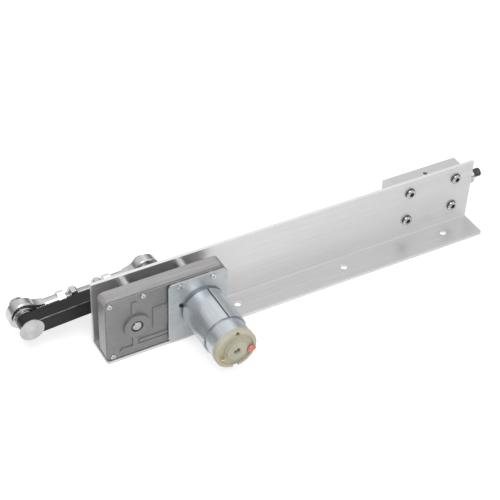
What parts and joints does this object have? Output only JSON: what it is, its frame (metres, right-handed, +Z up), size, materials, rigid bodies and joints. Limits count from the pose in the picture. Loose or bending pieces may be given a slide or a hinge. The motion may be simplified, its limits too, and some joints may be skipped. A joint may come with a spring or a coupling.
{
  "type": "reciprocating linear actuator",
  "caption": "Reciprocating linear actuator: a geared motor turns a crank whose rod drives a guided slide shaft with a threaded tip, all on a long angle bracket.",
  "frame": {"origin": "underside of the flange, below the crank shaft's axis, in the plane of the wall's motor-side face", "axes": "+X along the slide towards the threaded tip, +Y from the motor through the wall to the crank, +Z up from the flange"},
  "size_m": [0.4569, 0.1364, 0.066],
  "materials": {
    "angle_bracket": "satin",
    "gearbox_housing": "cast, brushed top",
    "gearbox_cover": "as cast",
    "cover_screws": "zinc",
    "plate_screws": "zinc",
    "spacer_posts": "turned",
    "post_screws": "zinc",
    "output_rear_bush": "sintered bronze",
    "output_front_bush": "sintered bronze",
    "first_axle": "ground",
    "second_axle": "ground",
    "motor_plate": "zinc",
    "motor_can": "zinc",
    "motor_screws": "zinc",
    "flux_ring": "zinc",
    "motor_magnets": "ferrite",
    "motor_end_cap": "moulded nylon",
    "motor_rear_bush": "sintered bronze",
    "motor_front_bush": "sintered bronze",
    "motor_terminals": "stamped",
    "motor_brushes": "carbon",
    "guide_block": "satin",
    "slide_bushes": "sintered bronze",
    "block_screws": "zinc",
    "motor_pinion": "hobbed",
    "motor_shaft": "ground",
    "armature": "laminated",
    "armature_windings": "enamelled copper",
    "commutator": "copper",
    "first_gear": "hobbed",
    "first_pinion": "hobbed",
    "second_gear": "hobbed",
    "second_pinion": "hobbed",
    "output_gear": "hobbed",
    "output_shaft": "ground",
    "crank_bar": "black",
    "crank_set_screw": "black oxide",
    "crank_pin": "polished",
    "pin_washer": "zinc",
    "pin_spacer": "zinc",
    "pin_ball": "polished",
    "pin_nut": "zinc",
    "pin_rod_end": "plated",
    "slide_rod_end": "plated",
    "rod_stud": "zinc",
    "jam_nuts": "zinc",
    "slide_ball": "polished",
    "pivot_stud": "zinc",
    "pivot_nut": "zinc",
    "slide_shaft": "hard chrome",
    "tip_stud": "black oxide"
  },
  "bodies": {
    "frame": {"angle_bracket": "angle_bracket", "gearbox_housing": "gearbox_housing", "gearbox_cover": "gearbox_cover", "cover_screws": "cover_screws", "plate_screws": "plate_screws", "spacer_posts": "spacer_posts", "post_screws": "post_screws", "output_rear_bush": "output_rear_bush", "output_front_bush": "output_front_bush", "first_axle": "first_axle", "second_axle": "second_axle", "motor_plate": "motor_plate", "motor_can": "motor_can", "motor_screws": "motor_screws", "flux_ring": "flux_ring", "motor_magnets": "motor_magnets", "motor_end_cap": "motor_end_cap", "motor_rear_bush": "motor_rear_bush", "motor_front_bush": "motor_front_bush", "motor_terminals": "motor_terminals", "motor_brushes": "motor_brushes", "guide_block": "guide_block", "slide_bushes": "slide_bushes", "block_screws": "block_screws"},
    "rotor": {"motor_pinion": "motor_pinion", "motor_shaft": "motor_shaft", "armature": "armature", "armature_windings": "armature_windings", "commutator": "commutator"},
    "first_pair": {"first_gear": "first_gear", "first_pinion": "first_pinion"},
    "second_pair": {"second_gear": "second_gear", "second_pinion": "second_pinion"},
    "crank": {"output_gear": "output_gear", "output_shaft": "output_shaft", "crank_bar": "crank_bar", "crank_set_screw": "crank_set_screw", "crank_pin": "crank_pin", "pin_washer": "pin_washer", "pin_spacer": "pin_spacer", "pin_ball": "pin_ball", "pin_nut": "pin_nut"},
    "con_rod": {"pin_rod_end": "pin_rod_end", "slide_rod_end": "slide_rod_end", "rod_stud": "rod_stud", "jam_nuts": "jam_nuts", "slide_ball": "slide_ball", "pivot_stud": "pivot_stud", "pivot_nut": "pivot_nut"},
    "slider": {"slide_shaft": "slide_shaft", "tip_stud": "tip_stud"}
  },
  "joints": [
    {"name": "crank_turn", "type": "hinge", "parent": "frame", "child": "crank", "pos_m": [0, 0, 0.0335], "axis": [0, 1, 0], "range_deg": [0, 180]},
    {"name": "con_rod_pivot", "type": "hinge", "parent": "crank", "child": "con_rod", "pos_m": [-0.07484, 0.0324, 0.02853], "axis": [0, 1, 0], "range_deg": [-180, 0]},
    {"name": "slide_travel", "type": "slide", "parent": "frame", "child": "slider", "axis": [1, 0, 0], "range_m": [0, 0.1502]},
    {"name": "second_pair_spin", "type": "hinge", "parent": "frame", "child": "second_pair", "pos_m": [0.02423, -0.018, 0.03966], "axis": [0, 1, 0], "continuous": true},
    {"name": "first_pair_spin", "type": "hinge", "parent": "frame", "child": "first_pair", "pos_m": [0.04169, -0.02, 0.02694], "axis": [0, 1, 0], "continuous": true},
    {"name": "rotor_spin", "type": "hinge", "parent": "frame", "child": "rotor", "pos_m": [0.0586, -0.05, 0.0331], "axis": [0, 1, 0], "continuous": true}
  ],
  "couplings": [
    {"joint": "con_rod_pivot", "follows": "crank_turn", "ratio": -0.97122},
    {"joint": "slide_travel", "follows": "crank_turn", "m_per_rad": 0.047642},
    {"joint": "second_pair_spin", "follows": "crank_turn", "ratio": -3.1667},
    {"joint": "first_pair_spin", "follows": "crank_turn", "ratio": 11.083},
    {"joint": "rotor_spin", "follows": "crank_turn", "ratio": -44.333}
  ]
}
